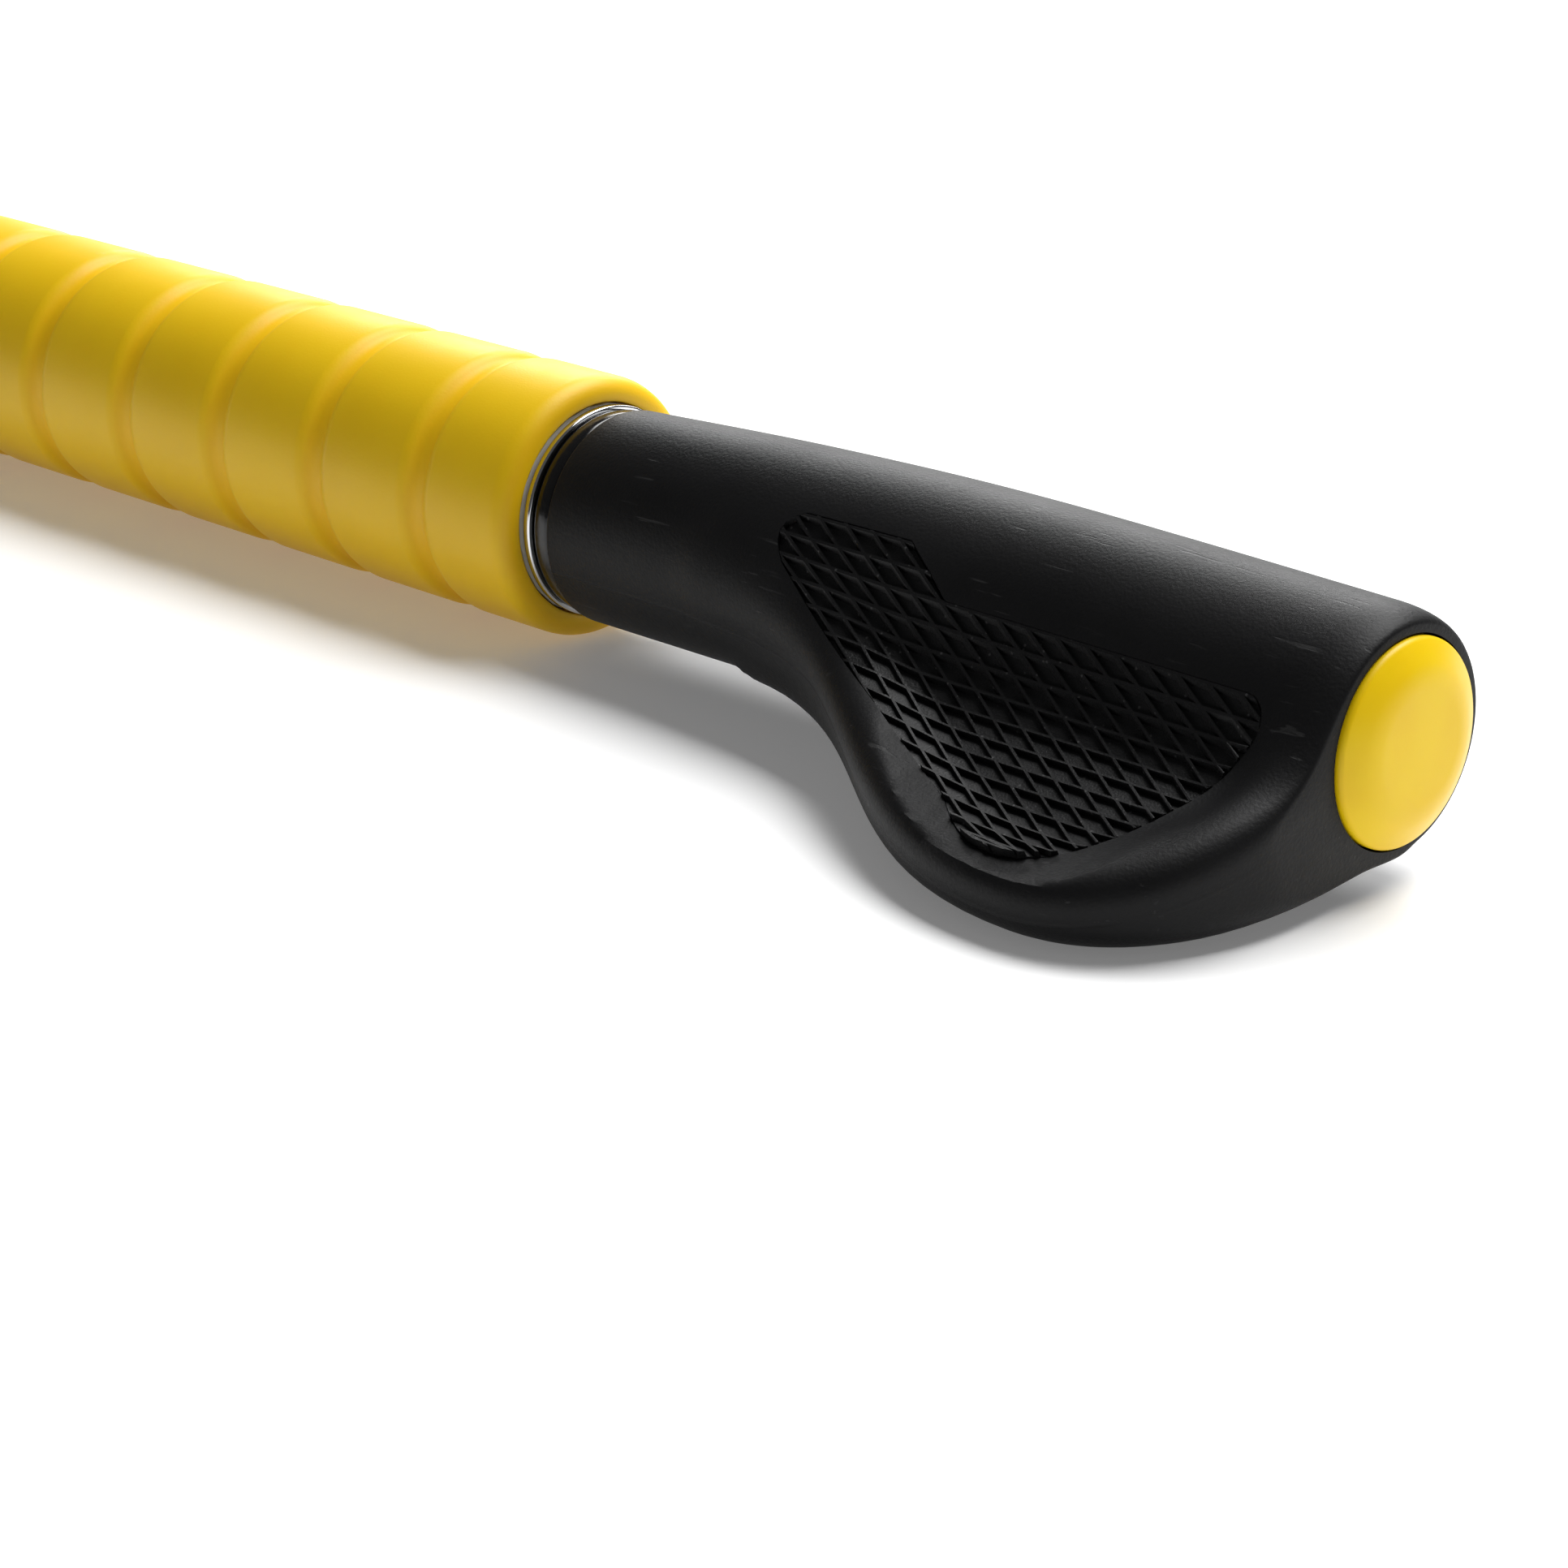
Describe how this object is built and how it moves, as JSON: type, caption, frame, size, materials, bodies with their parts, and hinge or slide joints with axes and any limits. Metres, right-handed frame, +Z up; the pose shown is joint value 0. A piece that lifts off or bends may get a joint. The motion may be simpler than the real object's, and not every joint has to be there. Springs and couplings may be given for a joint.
{
  "type": "massage roller bar",
  "caption": "Hand-held massage roller bar: a ribbed soft roller turns on a chromed tube between palm-wing rubber grips with textured pads and domed end plugs.",
  "frame": {"origin": "on the table under the middle of the bar's footprint", "axes": "+X along the bar, +Z up, the palm wings point to -Y and down to the table"},
  "size_m": [0.5762, 0.0632, 0.0364],
  "materials": {
    "yellow_soft_rubber": "satin soft skin",
    "yellow_plastic": "satin moulded",
    "black_rubber": "matt, finely grained",
    "pad_rubber": "matt with raised ridges",
    "gloss_black_plastic": "glossy",
    "hard_black_plastic": "matt moulded",
    "inner_plastic": "natural moulded",
    "chromed_steel": "bright chrome",
    "spring_steel": "oiled spring steel"
  },
  "bodies": {
    "root": {"core_tube": "chromed_steel", "thrust_washer_right": "chromed_steel", "thrust_washer_left": "chromed_steel", "retaining_clip_right": "spring_steel", "retaining_clip_left": "spring_steel", "stop_collar_right": "gloss_black_plastic", "stop_collar_left": "gloss_black_plastic", "end_plug_right": "yellow_plastic", "end_plug_left": "yellow_plastic", "grip_core_right": "hard_black_plastic", "grip_core_left": "hard_black_plastic", "grip_body_right": "black_rubber", "grip_body_left": "black_rubber", "grip_pad_right": "pad_rubber", "grip_pad_left": "pad_rubber", "grip_pin_right": "spring_steel", "grip_pin_left": "spring_steel"},
    "roller": {"roller_sleeve": "yellow_soft_rubber", "roller_carrier": "inner_plastic", "roller_bush_right": "inner_plastic", "roller_bush_left": "inner_plastic"}
  },
  "joints": [
    {"name": "roller_spin", "type": "hinge", "parent": "root", "child": "roller", "pos_m": [0, 0.01337, 0.0182], "axis": [1, 0, 0], "continuous": true}
  ]
}
